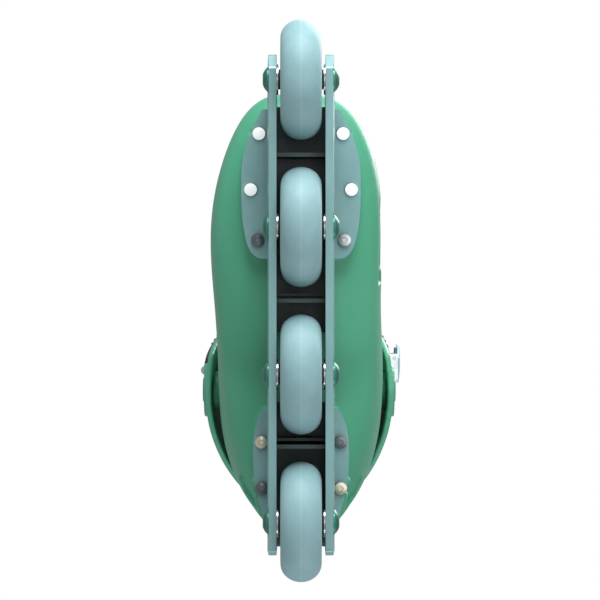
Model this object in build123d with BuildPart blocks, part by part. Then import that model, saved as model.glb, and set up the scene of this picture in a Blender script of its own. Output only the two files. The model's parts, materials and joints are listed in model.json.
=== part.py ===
from build123d import *

# A left inline skate: four wheels in an aluminium frame under a hinged plastic boot.
#
# The row frame is in millimetres. +Z is up, the toe points to -Y and the outer side of the foot is +X.
# The origin is on the ground, midway between the outer wheels, in the middle plane of the wheels.

import os
from math import cos, pi, sin, sqrt

# ---- driving dimensions ------------------------------------------------------------------------
WHEEL_D = 70.0
WHEEL_W = 24.0
WHEEL_PITCH = 86.0
AXLE_Z = WHEEL_D / 2
AXLE_YS = [WHEEL_PITCH * k for k in (-1.5, -0.5, 0.5, 1.5)]

RAIL_GAP = 28.5
RAIL_FOOT_T = 4.4
RAIL_FLARE = 1.3
FRAME_FRONT, FRAME_REAR = -143.5, 148.0
FRONT_DECK_Z, REAR_DECK_Z = 79.0, 87.0
DECK_T = 3.0

SHELL_T = 3.5
LINER_GAP = 3.0
LINER_T = 6.0
CUFF_T = 3.5
PIVOT_Y, PIVOT_Z = 57.0, 182.0

STRAP_Z, STRAP_H, STRAP_T = 246.0, 20.0, 2.2

os.makedirs("parts", exist_ok=True)


def save(part, name):
    """Labels a finished piece and writes it as parts/NAME.step."""
    part.label = name
    export_step(part, f"parts/{name}.step")


# ---- wheels and bearings -----------------------------------------------------------------------
TREAD_DEPTH = 10.5
CORE_R, CORE_W = 22.5, 19.0
BARREL_R, BARREL_W = 14.2, 23.6
RIM_T, BARREL_STOP_R = 3.2, 8.4
SPOKE_T, SPOKE_W, SPOKES = 7.0, 5.4, 6
BEARING_R, BEARING_W, BEARING_BORE_R = 11.0, 7.0, 4.0
BEARING_OUT_X = 12.1
OUTER_RACE_IN_R, INNER_RACE_OUT_R = 9.3, 5.9
BALL_R, BALL_PITCH_R, BALLS = 1.9, 7.55, 7
AXLE_R = 4.0
FIT = 0.03


def tyre():
    """The urethane tyre, revolved about its axle, which lies along X through the local origin."""
    with BuildPart() as body:
        with BuildSketch(Plane.XY):
            with BuildLine():
                half = WHEEL_W / 2
                shoulder = WHEEL_D / 2 - TREAD_DEPTH
                tread = EllipticalCenterArc((0, shoulder), half, TREAD_DEPTH, arc_size=180)
                left = Polyline(tread @ 1, (-half + 0.4, CORE_R + 0.6), (-CORE_W / 2, CORE_R))
                Line(left @ 1, (CORE_W / 2, CORE_R))
                Polyline((CORE_W / 2, CORE_R), (half - 0.4, CORE_R + 0.6), tread @ 0)
            make_face()
        revolve(axis=Axis.X)
    return body


def hub():
    """The core: a rim under the tyre, a barrel round both bearings and spokes between them."""
    seat_w = BEARING_W + 0.2
    with BuildPart() as body:
        with BuildSketch(Plane.XY):
            with Locations((0, CORE_R - RIM_T / 2)):
                Rectangle(CORE_W, RIM_T - FIT)
            with Locations((0, (BARREL_R + BEARING_R + FIT) / 2)):
                Rectangle(BARREL_W, BARREL_R - BEARING_R - FIT)
            with Locations((0, (BEARING_R + BARREL_STOP_R) / 2 + 0.1)):
                Rectangle(BARREL_W - 2 * seat_w, BEARING_R - BARREL_STOP_R + 0.6)
        revolve(axis=Axis.X)
        with BuildSketch(Plane.YZ.offset(-SPOKE_T / 2)):
            with PolarLocations(0, SPOKES):
                with Locations(((CORE_R + BARREL_R) / 2 - 1, 0)):
                    Rectangle(CORE_R - BARREL_R, SPOKE_W)
        extrude(amount=SPOKE_T)
    return body


def ring(outer_r, inner_r, x0, x1):
    """A plain ring about the X axis from x0 to x1."""
    with BuildPart() as body:
        with BuildSketch(Plane.YZ.offset(x0)):
            Circle(outer_r)
            Circle(inner_r, mode=Mode.SUBTRACT)
        extrude(amount=x1 - x0)
    return body.part


def grooved_race(outer_r, inner_r, centre_x):
    """A bearing race with the ball groove turned in it."""
    with BuildPart() as body:
        add(ring(outer_r, inner_r, centre_x - BEARING_W / 2, centre_x + BEARING_W / 2))
        with BuildSketch(Plane.XY):
            with Locations((centre_x, BALL_PITCH_R)):
                Circle(BALL_R + 0.08)
        revolve(axis=Axis.X, mode=Mode.SUBTRACT)
    return body.part


def both_sides(make):
    """One solid per side of the wheel, as a list."""
    return [make(side) for side in (-1, 1)]


BEARING_MID_X = BEARING_OUT_X - BEARING_W / 2


def outer_races():
    return both_sides(lambda s: grooved_race(BEARING_R, OUTER_RACE_IN_R, s * BEARING_MID_X))


def inner_races():
    return both_sides(lambda s: grooved_race(INNER_RACE_OUT_R, BEARING_BORE_R + FIT, s * BEARING_MID_X))


def balls():
    """Seven balls in each bearing."""
    made = []
    for side in (-1, 1):
        for k in range(BALLS):
            a = 2 * pi * k / BALLS
            at = (side * BEARING_MID_X, BALL_PITCH_R * cos(a), BALL_PITCH_R * sin(a))
            made.append(Pos(*at) * Sphere(BALL_R))
    return made


def shields():
    """The pressed seals, one on each face of each bearing."""
    made = []
    for side in (-1, 1):
        for face in (-1, 1):
            x = side * BEARING_MID_X + face * (BEARING_W / 2 - 0.55)
            made.append(ring(OUTER_RACE_IN_R - 0.05, INNER_RACE_OUT_R + 0.15, x - 0.25, x + 0.25))
    return made


def at_axle(shapes, y):
    """Copies of shapes made about the origin, moved to the axle at y."""
    return [Pos(0, y, AXLE_Z) * s for s in shapes]


def group(shapes):
    """Several separate solids as one node."""
    return Compound(children=list(shapes))


def build_wheels():
    tyre_part, hub_part = tyre().part, hub().part
    races, seals, rollers = outer_races(), shields(), balls()
    for n, y in enumerate(AXLE_YS, 1):
        save(group(at_axle([tyre_part], y)), f"wheel_{n}_tyre")
        save(group(at_axle([hub_part], y)), f"wheel_{n}_hub")
        save(group(at_axle(races, y)), f"wheel_{n}_bearing_outer_races")
        save(group(at_axle(seals, y)), f"wheel_{n}_bearing_seals")
        save(group(at_axle(rollers, y)), f"wheel_{n}_bearing_balls")


# ---- axles -------------------------------------------------------------------------------------
HEAD_R, HEAD_H = 7.3, 3.7
SOCKET_R, SOCKET_DEPTH, BORE_R = 2.3, 3.0, 2.0
SPOT_X = RAIL_GAP / 2 + RAIL_FOOT_T
SCREW_R, SCREW_LENGTH = 2.9, 14.0
SPACER_OUT_R = 5.6
WASHER_R = 5.8
BOSS_R, BOSS_T = 9.0, 0.95


def domed_head(side, bore_r):
    """The domed cap of an axle, with a hex socket, seated on the outside of a rail."""
    with BuildPart() as body:
        with BuildSketch(Plane.XY):
            with BuildLine():
                brim = Polyline((SPOT_X, bore_r), (SPOT_X, HEAD_R), (SPOT_X + 0.9, HEAD_R))
                dome = ThreePointArc(
                    brim @ 1, (SPOT_X + 0.72 * HEAD_H, 0.72 * HEAD_R), (SPOT_X + HEAD_H, 0.42 * HEAD_R)
                )
                Polyline(dome @ 1, (SPOT_X + HEAD_H, bore_r), (SPOT_X, bore_r))
            make_face()
        revolve(axis=Axis.X)
    return body.part if side > 0 else body.part.mirror(Plane.YZ)


def axle_sleeve():
    """The long half of a two-part axle: a hollow pin with one head, entered from the inner side."""
    with BuildPart() as body:
        add(domed_head(-1, BORE_R))
        add(ring(AXLE_R, SCREW_R + FIT, -SPOT_X, SPOT_X - 0.6))
        add(ring(SCREW_R + 0.3, BORE_R, -SPOT_X - 1.0, -SPOT_X + 4.0))
        with BuildSketch(Plane.YZ.offset(-SPOT_X - HEAD_H)):
            RegularPolygon(SOCKET_R, 6)
        extrude(amount=SOCKET_DEPTH, mode=Mode.SUBTRACT)
    return body.part


def axle_screw():
    """The short half: a screw with the same head, entered from the outer side."""
    with BuildPart() as body:
        add(domed_head(1, BORE_R))
        with BuildSketch(Plane.YZ.offset(SPOT_X - SCREW_LENGTH)):
            Circle(SCREW_R)
        extrude(amount=SCREW_LENGTH + 1.5)
        with BuildSketch(Plane.YZ.offset(SPOT_X + HEAD_H - SOCKET_DEPTH)):
            RegularPolygon(SOCKET_R, 6)
        extrude(amount=SOCKET_DEPTH + 0.5, mode=Mode.SUBTRACT)
    return body.part


def ring_pair(outer_r, x0, x1):
    """A ring that fits the axle between x0 and x1, and its mirror image."""
    return [ring(outer_r, AXLE_R + FIT, *sorted((s * x0, s * x1))) for s in (-1, 1)]


def build_axles():
    spacer_end = BEARING_OUT_X - BEARING_W
    boss_face = RAIL_GAP / 2 - BOSS_T
    sets = {
        "axle_sleeves": [axle_sleeve()],
        "axle_screws": [axle_screw()],
        "bearing_inner_races": inner_races(),
        "bearing_spacers": [ring(SPACER_OUT_R, AXLE_R + FIT, -spacer_end, spacer_end)],
        "axle_washers": ring_pair(WASHER_R, BEARING_OUT_X, boss_face),
        "rail_bosses": ring_pair(BOSS_R, boss_face, RAIL_GAP / 2),
    }
    for name, shapes in sets.items():
        save(group(s for y in AXLE_YS for s in at_axle(shapes, y)), name)


# ---- frame -------------------------------------------------------------------------------------
FLANGE_T = DECK_T
FRONT_FLANGE = [(-114.5, 23.5), (-99.5, 30.5), (-85.5, 34.8), (-66.5, 35.8), (-45.5, 34.7), (-36.5, 33.0)]
FRONT_FLANGE_TAIL = -25.0
REAR_FLANGE = [(65.5, 22.5), (72.5, 26.4), (88.5, 28.8), (110.5, 27.7), (129.0, 23.0)]
FRONT_DECK = (-116.0, 19.0)
REAR_DECK = (61.0, FRAME_REAR)
WEB_LOW_Z, SMALL_WEB_LOW_Z = 50.0, 62.0
MAIN_WEB_T, SMALL_WEB_T, WEB_STEP = 2.4, 1.6, 3.6
FLARE_Z = 62.0
RAIL_BELOW_AXLE = 10.0
SPOT_FACE_R = 9.5
WINDOW_L, WINDOW_H, WINDOW_Z = 30.0, 7.0, 60.5
RIVETS = [(-100.0, 25.2), (-66.5, 30.2)]
FRONT_SCREWS = [(-36.3, 26.2)]
REAR_SCREWS = [(85.2, 23.9), (113.0, 23.9)]
FASTENER_R, FASTENER_HEAD_R = 2.5, 3.75


def rail_outline():
    """The side view of a rail, as a face in the YZ plane."""
    low = AXLE_Z - RAIL_BELOW_AXLE
    with BuildSketch(Plane.YZ.offset(-30)) as face:
        with BuildLine():
            points = [(FRAME_REAR, REAR_DECK_Z), (FRAME_REAR, low + 3), (FRAME_REAR - 3, low)]
            points += [(AXLE_YS[0] - 6, low), (FRAME_FRONT, low + 8), (FRAME_FRONT, AXLE_Z + 9)]
            points += [(FRONT_DECK[0], FRONT_DECK_Z), (FRONT_DECK[1], FRONT_DECK_Z)]
            points += [(FRONT_DECK[1] + 14, FRONT_DECK_Z - 6), (REAR_DECK[0] - 10, FRONT_DECK_Z - 6)]
            points += [(REAR_DECK[0] + 4, REAR_DECK_Z)]
            Polyline(*points, close=True)
        make_face()
        soft = [v for v in face.vertices() if v.Y < 78]
        fillet(soft, 2.8)
    return face.sketch


def rail_section():
    """Both rails in end view: upright inner faces and outer faces that lean out towards the boot."""
    inner, foot, head = RAIL_GAP / 2, SPOT_X, SPOT_X + RAIL_FLARE
    low, top = AXLE_Z - 12, REAR_DECK_Z + 1
    with BuildSketch(Plane.XZ.offset(-FRAME_REAR - 1)) as face:
        for s in (-1, 1):
            corners = [(inner, low), (foot, low), (head, FLARE_Z), (head, top), (inner, top)]
            with BuildLine():
                Polyline(*[(s * x, z) for x, z in corners], close=True)
            make_face()
    return face.sketch


def flange_face(points, tail, z):
    """The plan outline of a mounting flange, the same on both sides of the rails."""
    with BuildSketch(Plane.XY.offset(z)) as face:
        with BuildLine():
            side = [(x, y) for y, x in points]
            curve = Spline(*side)
            Line((0, side[0][1]), curve @ 0)
            if tail is None:
                Line(curve @ 1, (0, side[-1][1]))
            else:
                corner = Spline(curve @ 1, (28.5, tail - 2.6), (22.0, tail), tangents=[curve % 1, (-1, 0)])
                Line(corner @ 1, (0, tail))
            Line((0, side[-1][1] if tail is None else tail), (0, side[0][1]))
        make_face()
        mirror(about=Plane.YZ)
    return face.sketch


def rail_blank():
    """The rails before drilling: their end view drawn along the frame, kept inside their side view."""
    with BuildPart() as side:
        add(rail_outline())
        extrude(amount=60, dir=(1, 0, 0))
    with BuildPart() as body:
        add(rail_section())
        extrude(amount=FRAME_REAR - FRAME_FRONT + 2, dir=(0, -1, 0))
        add(side.part, mode=Mode.INTERSECT)
    return body.part


def frame():
    """Two rails joined by two decks with flanges and by cross walls between the wheels."""
    with BuildPart() as body:
        add(rail_blank())
        for (y0, y1), z in ((FRONT_DECK, FRONT_DECK_Z), (REAR_DECK, REAR_DECK_Z)):
            with Locations((0, (y0 + y1) / 2, z - DECK_T / 2)):
                Box(RAIL_GAP + 2, y1 - y0, DECK_T)
        add(flange_face(FRONT_FLANGE, FRONT_FLANGE_TAIL, FRONT_DECK_Z - FLANGE_T))
        extrude(amount=FLANGE_T)
        add(flange_face(REAR_FLANGE, None, REAR_DECK_Z - FLANGE_T))
        extrude(amount=FLANGE_T)
        for y, z_low, t, z_top in webs():
            with Locations((0, y, (z_low + z_top) / 2)):
                Box(RAIL_GAP + 2, t, z_top - z_low)
        with Locations(*[(0, y, AXLE_Z) for y in AXLE_YS]):
            Cylinder(AXLE_R + 0.1, 60, rotation=(0, 90, 0), mode=Mode.SUBTRACT)
        for s in (-1, 1):
            with Locations(*[(s * (SPOT_X + 5), y, AXLE_Z) for y in AXLE_YS]):
                Cylinder(SPOT_FACE_R, 10, rotation=(0, 90, 0), mode=Mode.SUBTRACT)
        for y in AXLE_YS:
            with BuildSketch(Plane.YZ.offset(-30)):
                with Locations((y, WINDOW_Z)):
                    SlotOverall(WINDOW_L, WINDOW_H)
            extrude(amount=60, mode=Mode.SUBTRACT)
        for holes in (RIVETS, FRONT_SCREWS, REAR_SCREWS):
            for y, x in holes:
                with Locations((x, y, 80), (-x, y, 80)):
                    Cylinder(FASTENER_R + 0.2, 40, mode=Mode.SUBTRACT)
    return body


def webs():
    """Cross walls between the rails: (y, lowest z, thickness, top z)."""
    mid = [-WHEEL_PITCH, 0.0, WHEEL_PITCH]
    tops = [FRONT_DECK_Z - 1, FRONT_DECK_Z - 1, REAR_DECK_Z - 1]
    walls = [(y, WEB_LOW_Z, MAIN_WEB_T, top) for y, top in zip(mid, tops)]
    walls += [(y - WEB_STEP, SMALL_WEB_LOW_Z, SMALL_WEB_T, top) for y, top in zip(mid[1:], tops[1:])]
    return walls


# ---- boot surfaces -----------------------------------------------------------------------------
# Each station is a slice of the foot shell: its sole point and instep point in side view as (y, z),
# its half widths on the inner and outer side of the foot, the share of its height where it is widest,
# and how square its lower half is.
STATIONS = [
    ((-126.0, 104.0), (-126.0, 115.0), 14.0, 13.0, 0.50, 2.2),
    ((-117.0, 92.8), (-117.0, 131.0), 31.5, 30.2, 0.46, 2.5),
    ((-103.0, 87.2), (-103.0, 140.5), 40.8, 39.3, 0.44, 2.7),
    ((-69.0, 82.5), (-69.0, 152.0), 52.1, 48.3, 0.42, 3.0),
    ((-32.0, 81.8), (-38.0, 161.0), 55.4, 49.8, 0.42, 3.0),
    ((36.0, 87.0), (-20.0, 173.0), 52.4, 49.5, 0.44, 2.9),
    ((104.0, 90.4), (-5.0, 188.5), 51.2, 50.8, 0.50, 2.1),
    ((143.0, 107.0), (5.0, 203.0), 50.4, 50.0, 0.54, 1.8),
    ((142.5, 138.0), (8.0, 211.0), 49.4, 49.0, 0.52, 1.85),
    ((128.0, 168.0), (9.0, 217.0), 48.4, 48.0, 0.50, 1.95),
    ((118.0, 222.0), (8.0, 242.0), 47.0, 46.6, 0.50, 2.0),
]
BELOW_RIM = [(-150, 251.4), (180, 192.5), (180, 60), (-150, 60)]
TOE_STATIONS = 3
TOP_SQUARENESS = 2.15
HALF_SLICE_STEPS = 8
END_SPEED = 1.15


def half_slice(height, half_w, widest, low_n):
    """Points up one side of a slice, from its sole point to its instep point."""
    points = []
    for k in range(HALF_SLICE_STEPS + 1):
        t = pi * k / HALF_SLICE_STEPS
        n = low_n if cos(t) > 0 else TOP_SQUARENESS
        across = abs(sin(t)) ** (2 / n)
        rise = abs(cos(t)) ** (2 / n)
        up = widest * (1 - rise) if cos(t) > 0 else widest + (1 - widest) * rise
        points.append((across * half_w, up * height))
    return points


def slice_wall(points):
    """A smooth edge up one side of a slice, which starts and ends level."""
    steps = len(points) - 1
    start, end = points[1][0] * END_SPEED * steps, -points[-2][0] * END_SPEED * steps
    places = [k / steps for k in range(steps + 1)]
    return Edge.make_spline(points, tangents=[(start, 0), (end, 0)], parameters=places, scale=False)


def slice_face(plane, outer, inner):
    """One slice as a face: two smooth halves that meet level at both ends."""
    with BuildSketch(plane) as face:
        with BuildLine():
            add(slice_wall(outer))
            add(slice_wall(inner))
        make_face()
    return face.sketch


def foot_solid(inset):
    """The outside of the foot shell moved inwards by inset, filled solid up to the shell's rim."""
    with BuildPart() as body:
        toe_y, toe_end_y = STATIONS[0][0][0], STATIONS[TOE_STATIONS][0][0]
        for sole, instep, inner_w, outer_w, widest, low_n in STATIONS:
            run, rise = instep[0] - sole[0], instep[1] - sole[1]
            height = sqrt(run**2 + rise**2)
            up = (run / height, rise / height)
            lift = min(inset, 0.3 * height)
            side = min(inset, 0.4 * outer_w)
            back = inset * max(0.0, (toe_end_y - sole[0]) / (toe_end_y - toe_y))
            origin = (0, sole[0] + up[0] * lift + back, sole[1] + up[1] * lift)
            plane = Plane(origin, x_dir=(1, 0, 0), z_dir=(0, -up[1], up[0]))
            outer = half_slice(height - 2 * lift, outer_w - side, widest, low_n)
            inner = half_slice(height - 2 * lift, -(inner_w - side), widest, low_n)
            add(slice_face(plane, outer, inner))
        loft()
    return body.part


# Each slice of the cuff is level: its height, the middle and half of its length, and its half widths
# on the inner and outer side of the leg.
CUFF_SLICES = [
    (140.0, 60.5, 84.5, 60.0, 58.5),
    (182.0, 60.0, 76.0, 59.5, 57.5),
    (215.0, 63.0, 68.0, 58.5, 56.5),
    (250.0, 60.0, 65.0, 57.0, 55.0),
    (292.0, 52.0, 66.0, 54.0, 53.0),
    (312.0, 48.0, 66.0, 53.0, 52.0),
]
CUFF_FRONT_SQUARENESS, CUFF_BACK_SQUARENESS = 2.2, 1.95


def half_oval(length, half_w):
    """Points round one side of a level slice of the leg, from its front to its back."""
    points = []
    for k in range(HALF_SLICE_STEPS + 1):
        t = pi * k / HALF_SLICE_STEPS
        n = CUFF_FRONT_SQUARENESS if cos(t) > 0 else CUFF_BACK_SQUARENESS
        across = abs(sin(t)) ** (2 / n)
        along = abs(cos(t)) ** (2 / n)
        sign = 1 if cos(t) > 0 else -1
        points.append((across * half_w, length / 2 * (1 - sign * along)))
    return points


def leg_solid(inset):
    """The outside of the cuff moved inwards by inset, filled solid."""
    with BuildPart() as body:
        for z, mid_y, half_l, inner_w, outer_w in CUFF_SLICES:
            plane = Plane((0, mid_y - half_l + inset, z), x_dir=(1, 0, 0), z_dir=(0, 0, 1))
            length = 2 * (half_l - inset)
            add(slice_face(plane, half_oval(length, outer_w - inset), half_oval(length, inset - inner_w)))
        loft()
    return body.part


def side_prism(points, x0=-90.0, x1=90.0, round_r=0.0):
    """A side-view outline of (y, z) points extruded from x0 to x1."""
    with BuildPart() as body:
        with BuildSketch(Plane.YZ.offset(x0)) as face:
            with BuildLine():
                Polyline(*points, close=True)
            make_face()
            if round_r:
                fillet(face.vertices(), round_r)
        extrude(amount=x1 - x0)
    return body.part


def x_cylinder(radius, x0, x1, y, z):
    """A cylinder along X between x0 and x1."""
    with BuildPart() as body:
        with BuildSketch(Plane.YZ.offset(min(x0, x1))):
            with Locations((y, z)):
                Circle(radius)
        extrude(amount=abs(x1 - x0))
    return body.part


def z_cylinder(radius, z0, z1, x, y):
    """A cylinder along Z between z0 and z1."""
    with BuildPart() as body:
        with BuildSketch(Plane.XY.offset(min(z0, z1))):
            with Locations((x, y)):
                Circle(radius)
        extrude(amount=abs(z1 - z0))
    return body.part


# ---- foot shell --------------------------------------------------------------------------------
FRONT_SPOT_Z = 85.5
THROAT_LOW, THROAT_HIGH = (-74.0, 13.0), (12.0, 25.0)
PIVOT_BOSS_R = 12.0
PIVOT_R = 4.0
CUFF_INNER_X = (56.3, 54.3)
VENT_FLOOR_X = 47.4
VENT = [(-64.0, 109.0), (-22.0, 109.0), (-14.0, 116.0), (-22.0, 123.0), (-64.0, 118.8)]
NUT_POCKET_R, NUT_SEAT_X = 8.2, 45.5
TAIL_POCKET_R = 5.2


def throat():
    """The opening over the instep, wider at the leg than at the toes."""
    (low_y, low_w), (high_y, high_w) = THROAT_LOW, THROAT_HIGH
    with BuildPart() as body:
        with BuildSketch(Plane.XY.offset(128)):
            with BuildLine():
                left = Line((-low_w, low_y + 10), (-high_w, high_y + 30))
                Line(left @ 1, (high_w, high_y + 30))
                right = Line((high_w, high_y + 30), (low_w, low_y + 10))
                ThreePointArc(right @ 1, (0, low_y), left @ 0)
            make_face()
        extrude(amount=120)
    return body.part


def shell():
    """The moulded foot shell: hollow, open at the leg and over the instep, with pads for the frame."""
    with BuildPart() as body:
        add(foot_solid(0))
        add(side_prism(BELOW_RIM), mode=Mode.INTERSECT)
        add(flange_face(FRONT_FLANGE, FRONT_FLANGE_TAIL, FRONT_DECK_Z))
        extrude(amount=9)
        add(flange_face(REAR_FLANGE, None, REAR_DECK_Z))
        extrude(amount=9)
        for side, reach in zip((-1, 1), CUFF_INNER_X):
            add(x_cylinder(PIVOT_BOSS_R, side * 40, side * (reach - 0.3), PIVOT_Y, PIVOT_Z))
        add(foot_solid(SHELL_T), mode=Mode.SUBTRACT)
        add(throat(), mode=Mode.SUBTRACT)
        for y, x in RIVETS:
            for s in (-1, 1):
                add(z_cylinder(FASTENER_R + 0.03, 70, 110, s * x, y), mode=Mode.SUBTRACT)
                add(z_cylinder(TAIL_POCKET_R, FRONT_SPOT_Z, 110, s * x, y), mode=Mode.SUBTRACT)
        for holes, deck_z in ((FRONT_SCREWS, FRONT_DECK_Z), (REAR_SCREWS, REAR_DECK_Z)):
            for y, x in holes:
                for s in (-1, 1):
                    add(z_cylinder(INSERT_R + FIT, 70, deck_z + INSERT_H, s * x, y), mode=Mode.SUBTRACT)
        for side in (-1, 1):
            add(x_cylinder(PIVOT_R + FIT, side * 35, side * 60, PIVOT_Y, PIVOT_Z), mode=Mode.SUBTRACT)
            nut_seat = side * (NUT_SEAT_X - 0.3)
            add(x_cylinder(NUT_POCKET_R, side * 30, nut_seat, PIVOT_Y, PIVOT_Z), mode=Mode.SUBTRACT)
        add(side_prism(VENT, VENT_FLOOR_X, 70), mode=Mode.SUBTRACT)
    return body


# ---- liner, tongue and footbed -----------------------------------------------------------------
LINER_OUT = SHELL_T + LINER_GAP
LINER_IN = LINER_OUT + LINER_T
TONGUE_HALF_W = 21.0
COLLAR_OUT = CUFF_T + 1.8
COLLAR_IN = COLLAR_OUT + 8.0
RIM_CUT = [(-40, 238), (20, 241), (140, 211), (200, 196)]


def liner_foot():
    """The padded sock inside the foot shell, with a slot along the instep for the tongue."""
    with BuildPart() as body:
        add(foot_solid(LINER_OUT))
        add(side_prism(BELOW_RIM), mode=Mode.INTERSECT)
        add(foot_solid(LINER_IN), mode=Mode.SUBTRACT)
        with Locations((0, -20, 190)):
            Box(2 * TONGUE_HALF_W + 1.0, 120, 130, mode=Mode.SUBTRACT)
        for side in (-1, 1):
            add(x_cylinder(8.6, side * 30, side * 47, PIVOT_Y, PIVOT_Z), mode=Mode.SUBTRACT)
    return body


def tongue():
    """The padded tongue that fills the slot of the liner over the instep."""
    with BuildPart() as body:
        add(foot_solid(LINER_OUT))
        add(side_prism(BELOW_RIM), mode=Mode.INTERSECT)
        add(foot_solid(LINER_IN), mode=Mode.SUBTRACT)
        with Locations((0, -19, 190)):
            Box(2 * TONGUE_HALF_W, 117, 129, mode=Mode.INTERSECT)
    return body


def leg_band(outer_inset, inner_inset, z_top):
    """A ring round the leg above the rim of the shell, up to a stepped top edge."""
    top_edge = [(200, z_top), (140, z_top), (-10, z_top - 20), (-40, z_top - 20)]
    with BuildPart() as body:
        add(leg_solid(outer_inset))
        add(leg_solid(inner_inset), mode=Mode.SUBTRACT)
        add(side_prism(RIM_CUT + top_edge), mode=Mode.INTERSECT)
    return body.part


def liner_collar():
    """The padded top of the liner, which leans with the cuff."""
    with BuildPart() as body:
        add(leg_band(COLLAR_OUT, COLLAR_IN, 302))
        with Locations((0, -10, 250)):
            Box(2 * TONGUE_HALF_W + 1.0, 80, 150, mode=Mode.SUBTRACT)
    return body


def tongue_top():
    """The top of the tongue, inside the front of the cuff."""
    with BuildPart() as body:
        add(leg_band(COLLAR_OUT, COLLAR_IN, 322))
        with Locations((0, -10, 250)):
            Box(2 * TONGUE_HALF_W, 70, 130, mode=Mode.INTERSECT)
    return body


FOOTBED_SIDE = [(-98, 88), (106, 88), (108, 112), (80, 110), (36, 107), (-20, 102), (-60, 102), (-98, 106)]


def footbed():
    """The removable footbed on the floor of the liner."""
    with BuildPart() as body:
        add(foot_solid(LINER_IN + 2.5))
        add(side_prism(FOOTBED_SIDE), mode=Mode.INTERSECT)
    return body


# ---- cuff --------------------------------------------------------------------------------------
CUFF_SIDE = [(-12, 268), (150, 296), (150, 176), (112, 170), (82, 156), (57, 152), (34, 158), (22, 182)]
CUFF_SIDE += [(4, 214), (-12, 226)]
CUFF_FRONT_HALF_W = 26.0
BOSS_OUT_X = (61.6, 59.4)


def cuff():
    """The cuff: a C-shaped wall round the leg, with a lobe over each pivot."""
    with BuildPart() as body:
        add(leg_solid(0))
        for side, reach in zip((-1, 1), BOSS_OUT_X):
            add(x_cylinder(17, side * 50, side * reach, PIVOT_Y, PIVOT_Z))
        add(z_box(-PAD_X[0], -45, 43, 64, STRAP_Z - 9.5, STRAP_Z + 9.5))
        add(z_box(PAD_X[1], 43, BUCKLE_FRONT_Y, 66, STRAP_LOW_Z - 1.6, STRAP_TOP_Z + 1.6))
        seat_low, seat_top = STRAP_LOW_Z - 1.8, STRAP_TOP_Z + 1.8
        add(z_box(PAD_X[1], 62, BUCKLE_FRONT_Y - 3.2, 66.2, seat_low, seat_top), mode=Mode.SUBTRACT)
        add(leg_solid(CUFF_T), mode=Mode.SUBTRACT)
        for side, reach in zip((-1, 1), CUFF_INNER_X):
            add(x_cylinder(PIVOT_BOSS_R + 1, 0, side * reach, PIVOT_Y, PIVOT_Z), mode=Mode.SUBTRACT)
        add(side_prism(CUFF_SIDE, round_r=3.5), mode=Mode.INTERSECT)
        with Locations((0, -10, 240)):
            Box(2 * CUFF_FRONT_HALF_W, 70, 160, mode=Mode.SUBTRACT)
        for side, reach in zip((-1, 1), BOSS_OUT_X):
            add(x_cylinder(PIVOT_R + 0.05, side * 45, side * 70, PIVOT_Y, PIVOT_Z), mode=Mode.SUBTRACT)
            add(x_cylinder(8.3, side * (reach - 1.6), side * 70, PIVOT_Y, PIVOT_Z), mode=Mode.SUBTRACT)
        for side, y in ((-1, 57), (1, 61)):
            add(x_cylinder(2.5 + FIT, side * 45, side * 70, y, STRAP_Z), mode=Mode.SUBTRACT)
    return body


# ---- fasteners ---------------------------------------------------------------------------------
TAIL_R, TAIL_H = 4.4, 1.3
SOLE_SOCKET_R, SOLE_SOCKET_DEPTH = 1.9, 1.7
RIVET_RIM_H, SCREW_RIM_H, HEAD_CROWN = 1.1, 1.5, 0.4
INSERT_R, INSERT_H = 4.0, 5.5


def sole_fastener(x, y, head_top_z, spot_z, socket=None):
    """A rivet or screw: a low domed head under the flange and a shank up through the sole."""
    tail_z = spot_z + TAIL_H
    rim_z = head_top_z - (RIVET_RIM_H if socket is None else SCREW_RIM_H)
    rim = (x + FASTENER_HEAD_R, rim_z)
    crown = (x, rim_z - HEAD_CROWN)
    with BuildPart() as body:
        with BuildSketch(Plane.XZ.offset(-y)):
            with BuildLine():
                ThreePointArc(crown, (x + 0.7 * FASTENER_HEAD_R, rim_z - 0.5 * HEAD_CROWN), rim)
                Polyline(rim, (rim[0], head_top_z), (x + FASTENER_R, head_top_z))
                Line((x + FASTENER_R, head_top_z), (x + FASTENER_R, spot_z))
                if socket is None:
                    tail = x + TAIL_R
                    Polyline((x + FASTENER_R, spot_z), (tail, spot_z), (tail, tail_z), (x, tail_z))
                else:
                    Polyline((x + FASTENER_R, spot_z), (x + FASTENER_R, tail_z), (x, tail_z))
                Line((x, tail_z), crown)
            make_face()
        revolve(axis=Axis((x, y, 0), (0, 0, 1)))
        if socket is not None:
            with BuildSketch(Plane.XY.offset(rim_z - HEAD_CROWN - 0.2)):
                with Locations((x, y)):
                    RegularPolygon(socket, 6)
            extrude(amount=SOLE_SOCKET_DEPTH, mode=Mode.SUBTRACT)
    return body.part


def insert(x, y, deck_z):
    """The threaded insert in the sole that a mounting screw runs into."""
    with BuildPart() as body:
        add(z_cylinder(INSERT_R, deck_z, deck_z + INSERT_H, x, y))
        add(z_cylinder(FASTENER_R + FIT, deck_z - 1, deck_z + INSERT_H + 1, x, y), mode=Mode.SUBTRACT)
    return body.part


def both(places):
    """Mirrored (x, y) pairs from one side's (y, x) list."""
    return [(s * x, y) for y, x in places for s in (-1, 1)]


def mount_screws(holes, deck_z):
    """The socket screws that go up through a flange into the inserts of the sole."""
    under, end = deck_z - FLANGE_T, deck_z + INSERT_H - TAIL_H
    return [sole_fastener(x, y, under, end, SOLE_SOCKET_R) for x, y in both(holes)]


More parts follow.
